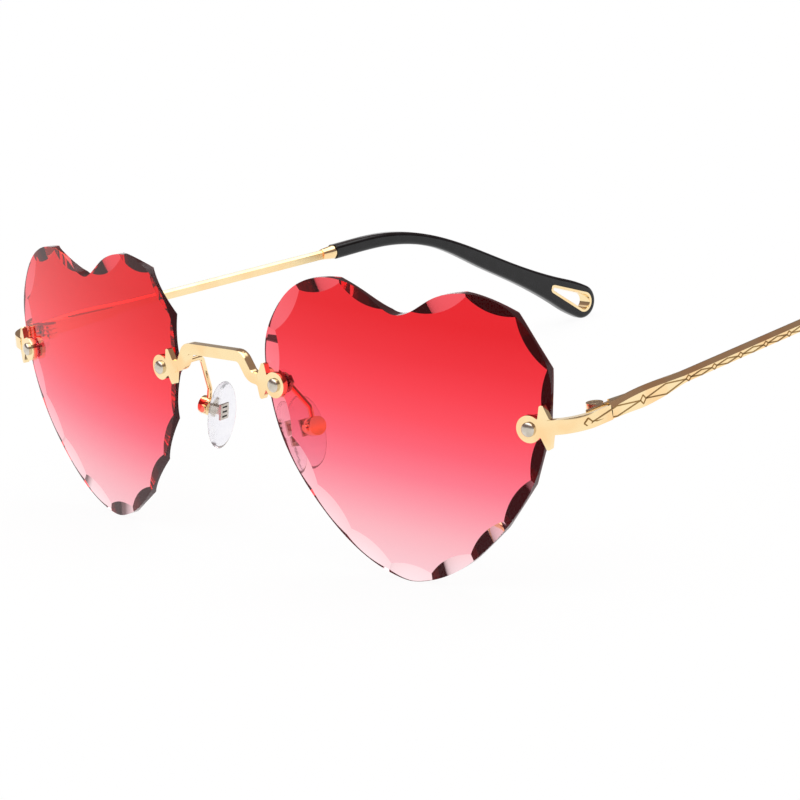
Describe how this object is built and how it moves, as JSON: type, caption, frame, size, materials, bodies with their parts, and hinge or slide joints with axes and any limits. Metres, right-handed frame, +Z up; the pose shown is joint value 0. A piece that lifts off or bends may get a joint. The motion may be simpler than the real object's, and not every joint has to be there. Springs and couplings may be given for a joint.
{
  "type": "heart shaped rimless sunglasses",
  "caption": "Rimless sunglasses with heart shaped gradient lenses, a flat gold bridge, folding engraved temples and rocking nose pads.",
  "frame": {"origin": "on the ground under the middle of the open glasses, which stand on their lens tips and temple tips", "axes": "+Z up, the lenses face -Y, the temples run to +Y, and the wearer's left is +X"},
  "size_m": [0.1446, 0.1587, 0.0487],
  "materials": {
    "tinted_lens": "polished gradient tint, red above and pale pink below",
    "gold_metal": "polished pale gold plate",
    "steel_screw": "polished",
    "clear_washer": "clear",
    "clear_pad": "clear soft silicone",
    "black_tip": "glossy black"
  },
  "bodies": {
    "front": {"bridge": "gold_metal", "endpiece_hinge_left": "gold_metal", "endpiece_hinge_right": "gold_metal", "endpiece_left": "gold_metal", "endpiece_right": "gold_metal", "front_washer_inner_left": "clear_washer", "front_washer_inner_right": "clear_washer", "front_washer_outer_left": "clear_washer", "front_washer_outer_right": "clear_washer", "hinge_screw_left": "gold_metal", "hinge_screw_right": "gold_metal", "hole_bush_inner_left": "clear_washer", "hole_bush_inner_right": "clear_washer", "hole_bush_outer_left": "clear_washer", "hole_bush_outer_right": "clear_washer", "lens_left": "tinted_lens", "lens_nut_inner_left": "steel_screw", "lens_nut_inner_right": "steel_screw", "lens_nut_outer_left": "steel_screw", "lens_nut_outer_right": "steel_screw", "lens_right": "tinted_lens", "lens_screw_inner_left": "steel_screw", "lens_screw_inner_right": "steel_screw", "lens_screw_outer_left": "steel_screw", "lens_screw_outer_right": "steel_screw", "pad_arm_left": "gold_metal", "pad_arm_right": "gold_metal", "pad_box_left": "gold_metal", "pad_box_right": "gold_metal", "pad_screw_left": "gold_metal", "pad_screw_right": "gold_metal", "rear_washer_inner_left": "clear_washer", "rear_washer_inner_right": "clear_washer", "rear_washer_outer_left": "clear_washer", "rear_washer_outer_right": "clear_washer"},
    "left_temple_arm": {"temple_hinge_left": "gold_metal", "temple_left": "gold_metal", "ferrule_left": "gold_metal", "temple_tip_left": "black_tip", "tip_ring_left": "gold_metal"},
    "left_pad": {"nose_pad_left": "clear_pad", "pad_core_left": "steel_screw"},
    "right_temple_arm": {"temple_hinge_right": "gold_metal", "temple_right": "gold_metal", "ferrule_right": "gold_metal", "temple_tip_right": "black_tip", "tip_ring_right": "gold_metal"},
    "right_pad": {"nose_pad_right": "clear_pad", "pad_core_right": "steel_screw"}
  },
  "joints": [
    {"name": "left_temple_fold", "type": "hinge", "parent": "front", "child": "left_temple_arm", "pos_m": [0.06849, -0.06104, 0.02836], "axis": [0, 0, 1], "range_deg": [0, 88]},
    {"name": "right_temple_fold", "type": "hinge", "parent": "front", "child": "right_temple_arm", "pos_m": [-0.06849, -0.06104, 0.02836], "axis": [0, 0, -1], "range_deg": [0, 82]},
    {"name": "left_pad_rock", "type": "hinge", "parent": "front", "child": "left_pad", "pos_m": [0.0141, -0.06967, 0.02185], "axis": [0.1736, 0.9848, 0], "range_deg": [-10, 10]},
    {"name": "right_pad_rock", "type": "hinge", "parent": "front", "child": "right_pad", "pos_m": [-0.0141, -0.06967, 0.02185], "axis": [0.1736, -0.9848, 0], "range_deg": [-10, 10]}
  ]
}
